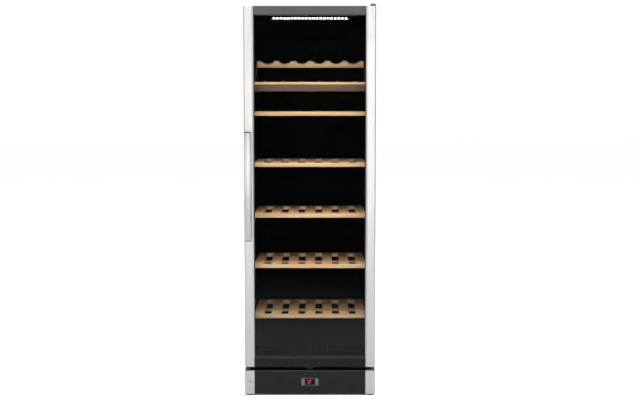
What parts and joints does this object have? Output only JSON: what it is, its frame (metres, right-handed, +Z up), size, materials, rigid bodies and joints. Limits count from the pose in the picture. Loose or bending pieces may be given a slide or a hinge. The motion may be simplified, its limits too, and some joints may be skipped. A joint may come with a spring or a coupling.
{
  "type": "wine cooler",
  "caption": "Tall free-standing wine cooler with a glazed hinged door, slatted wooden shelves, a tilted display shelf, ceiling light and a plinth with lock and temperature control.",
  "frame": {"origin": "on the floor, at the centre of the outer box", "axes": "+X to the right seen from the front, +Y from the door to the back, +Z up"},
  "size_m": [0.595, 0.635, 1.782],
  "materials": {
    "cabinet_steel": "satin black powder coat on sheet steel",
    "back_steel": "galvanised grey sheet",
    "foam": "rigid foamed-in-place insulation, sealed inside the walls",
    "liner_plastic": "black moulded liner plastic with a fine grain",
    "board": "circuit board",
    "lens": "clear diffusing strip",
    "coil_aluminium": "bare tube and fins",
    "fan_plastic": "black moulded plastic",
    "black_steel": "black enamelled steel",
    "rubber": "black rubber",
    "trim_plastic": "black moulded plastic",
    "copper": "drawn copper tube, brazed joints",
    "plinth_plastic": "dark grey, satin",
    "profile_aluminium": "satin anodised, fine vertical grain",
    "display_glow": "dark red filter over a two-digit display",
    "button_plastic": "grey moulded keys",
    "lock_metal": "nickel-plated, slightly worn",
    "hinge_steel": "zinc-plated plate",
    "rail_upper": "dark grey gloss",
    "rail_lower": "black gloss",
    "tinted_glass": "smoked, ultraviolet-filtering pane",
    "clear_glass": "clear low-emission pane",
    "spacer": "black edge spacer between the panes",
    "handle_fitting": "dark anodised",
    "wood": "beech, oiled, straight grain"
  },
  "bodies": {
    "cabinet": {"side_panel_left": "cabinet_steel", "side_panel_right": "cabinet_steel", "top_panel": "cabinet_steel", "back_panel": "back_steel", "underside_panel": "back_steel", "insulation_foam": "foam", "inner_liner": "liner_plastic", "light_housing": "liner_plastic", "led_board": "board", "light_lens": "lens", "air_duct_cover": "liner_plastic", "evaporator": "coil_aluminium", "fan_frame": "fan_plastic", "temperature_probe": "liner_plastic", "bottom_rack": "black_steel", "compressor": "black_steel", "compressor_mounts": "rubber", "condenser_coil": "black_steel", "condenser_wires": "black_steel", "condenser_clips": "trim_plastic", "drip_tray": "trim_plastic", "refrigerant_lines": "copper", "mains_inlet": "trim_plastic", "base_frame": "black_steel", "plinth_panel": "plinth_plastic", "plinth_cap_left": "profile_aluminium", "plinth_cap_right": "profile_aluminium", "control_bezel": "trim_plastic", "control_display": "display_glow", "control_board": "board", "lock_housing": "lock_metal", "hinge_bracket_top": "hinge_steel", "hinge_cover_top": "trim_plastic", "hinge_bracket_bottom": "hinge_steel"},
    "door": {"door_profile_left": "profile_aluminium", "door_profile_right": "profile_aluminium", "door_rail_top": "rail_upper", "door_rail_bottom": "rail_lower", "door_glass_outer": "tinted_glass", "door_glass_inner": "clear_glass", "glass_spacer": "spacer", "door_gasket": "rubber", "door_corner_plugs": "trim_plastic", "handle_bar": "profile_aluminium", "handle_fittings": "handle_fitting"},
    "display_shelf": {"display_shelf": "wood", "display_brackets": "black_steel"},
    "shelf_1": {"shelf_1": "wood"},
    "shelf_2": {"shelf_2": "wood"},
    "shelf_3": {"shelf_3": "wood"},
    "shelf_4": {"shelf_4": "wood"},
    "shelf_5": {"shelf_5": "wood"},
    "lock_cylinder": {"lock_cylinder": "lock_metal"},
    "lock_bolt": {"lock_bolt": "lock_metal"},
    "button_left": {"button_left": "button_plastic"},
    "button_right": {"button_right": "button_plastic"},
    "fan_rotor": {"fan_rotor": "fan_plastic"},
    "front_foot_left": {"front_foot_left": "rubber"},
    "front_foot_right": {"front_foot_right": "rubber"},
    "rear_rollers": {"rear_rollers": "trim_plastic"}
  },
  "joints": [
    {"name": "door_swing", "type": "hinge", "parent": "cabinet", "child": "door", "pos_m": [0.2835, -0.2535, 0.95], "axis": [0, 0, 1], "range_deg": [0, 100]},
    {"name": "lock_turn", "type": "hinge", "parent": "cabinet", "child": "lock_cylinder", "pos_m": [-0.2735, -0.2675, 0.065], "axis": [0, 1, 0], "range_deg": [0, 90]},
    {"name": "bolt_lift", "type": "slide", "parent": "cabinet", "child": "lock_bolt", "axis": [0, 0, 1], "range_m": [0, 0.01696]},
    {"name": "press_left", "type": "slide", "parent": "cabinet", "child": "button_left", "axis": [0, 1, 0], "range_m": [0, 0.0012], "stiffness_N_per_m": 400},
    {"name": "press_right", "type": "slide", "parent": "cabinet", "child": "button_right", "axis": [0, 1, 0], "range_m": [0, 0.0012], "stiffness_N_per_m": 400},
    {"name": "shelf_1_slide", "type": "slide", "parent": "cabinet", "child": "shelf_1", "axis": [0, -1, 0], "range_m": [0, 0.028]},
    {"name": "shelf_2_slide", "type": "slide", "parent": "cabinet", "child": "shelf_2", "axis": [0, -1, 0], "range_m": [0, 0.028]},
    {"name": "shelf_3_slide", "type": "slide", "parent": "cabinet", "child": "shelf_3", "axis": [0, -1, 0], "range_m": [0, 0.028]},
    {"name": "shelf_4_slide", "type": "slide", "parent": "cabinet", "child": "shelf_4", "axis": [0, -1, 0], "range_m": [0, 0.028]},
    {"name": "shelf_5_slide", "type": "slide", "parent": "cabinet", "child": "shelf_5", "axis": [0, -1, 0], "range_m": [0, 0.028]},
    {"name": "display_shelf_slide", "type": "slide", "parent": "cabinet", "child": "display_shelf", "axis": [0, -1, 0], "range_m": [0, 0.018]},
    {"name": "fan_spin", "type": "hinge", "parent": "cabinet", "child": "fan_rotor", "pos_m": [0, 0.2275, 1.54], "axis": [0, -1, 0], "continuous": true},
    {"name": "foot_turn_left", "type": "hinge", "parent": "cabinet", "child": "front_foot_left", "pos_m": [-0.2755, -0.249, 0.01], "axis": [0, 0, 1], "continuous": true},
    {"name": "foot_turn_right", "type": "hinge", "parent": "cabinet", "child": "front_foot_right", "pos_m": [0.2755, -0.249, 0.01], "axis": [0, 0, 1], "continuous": true},
    {"name": "rollers_spin", "type": "hinge", "parent": "cabinet", "child": "rear_rollers", "pos_m": [0, 0.2475, 0.014], "axis": [1, 0, 0], "continuous": true}
  ],
  "couplings": [
    {"joint": "lock_turn", "follows": "bolt_lift", "rad_per_m": 92.56}
  ]
}
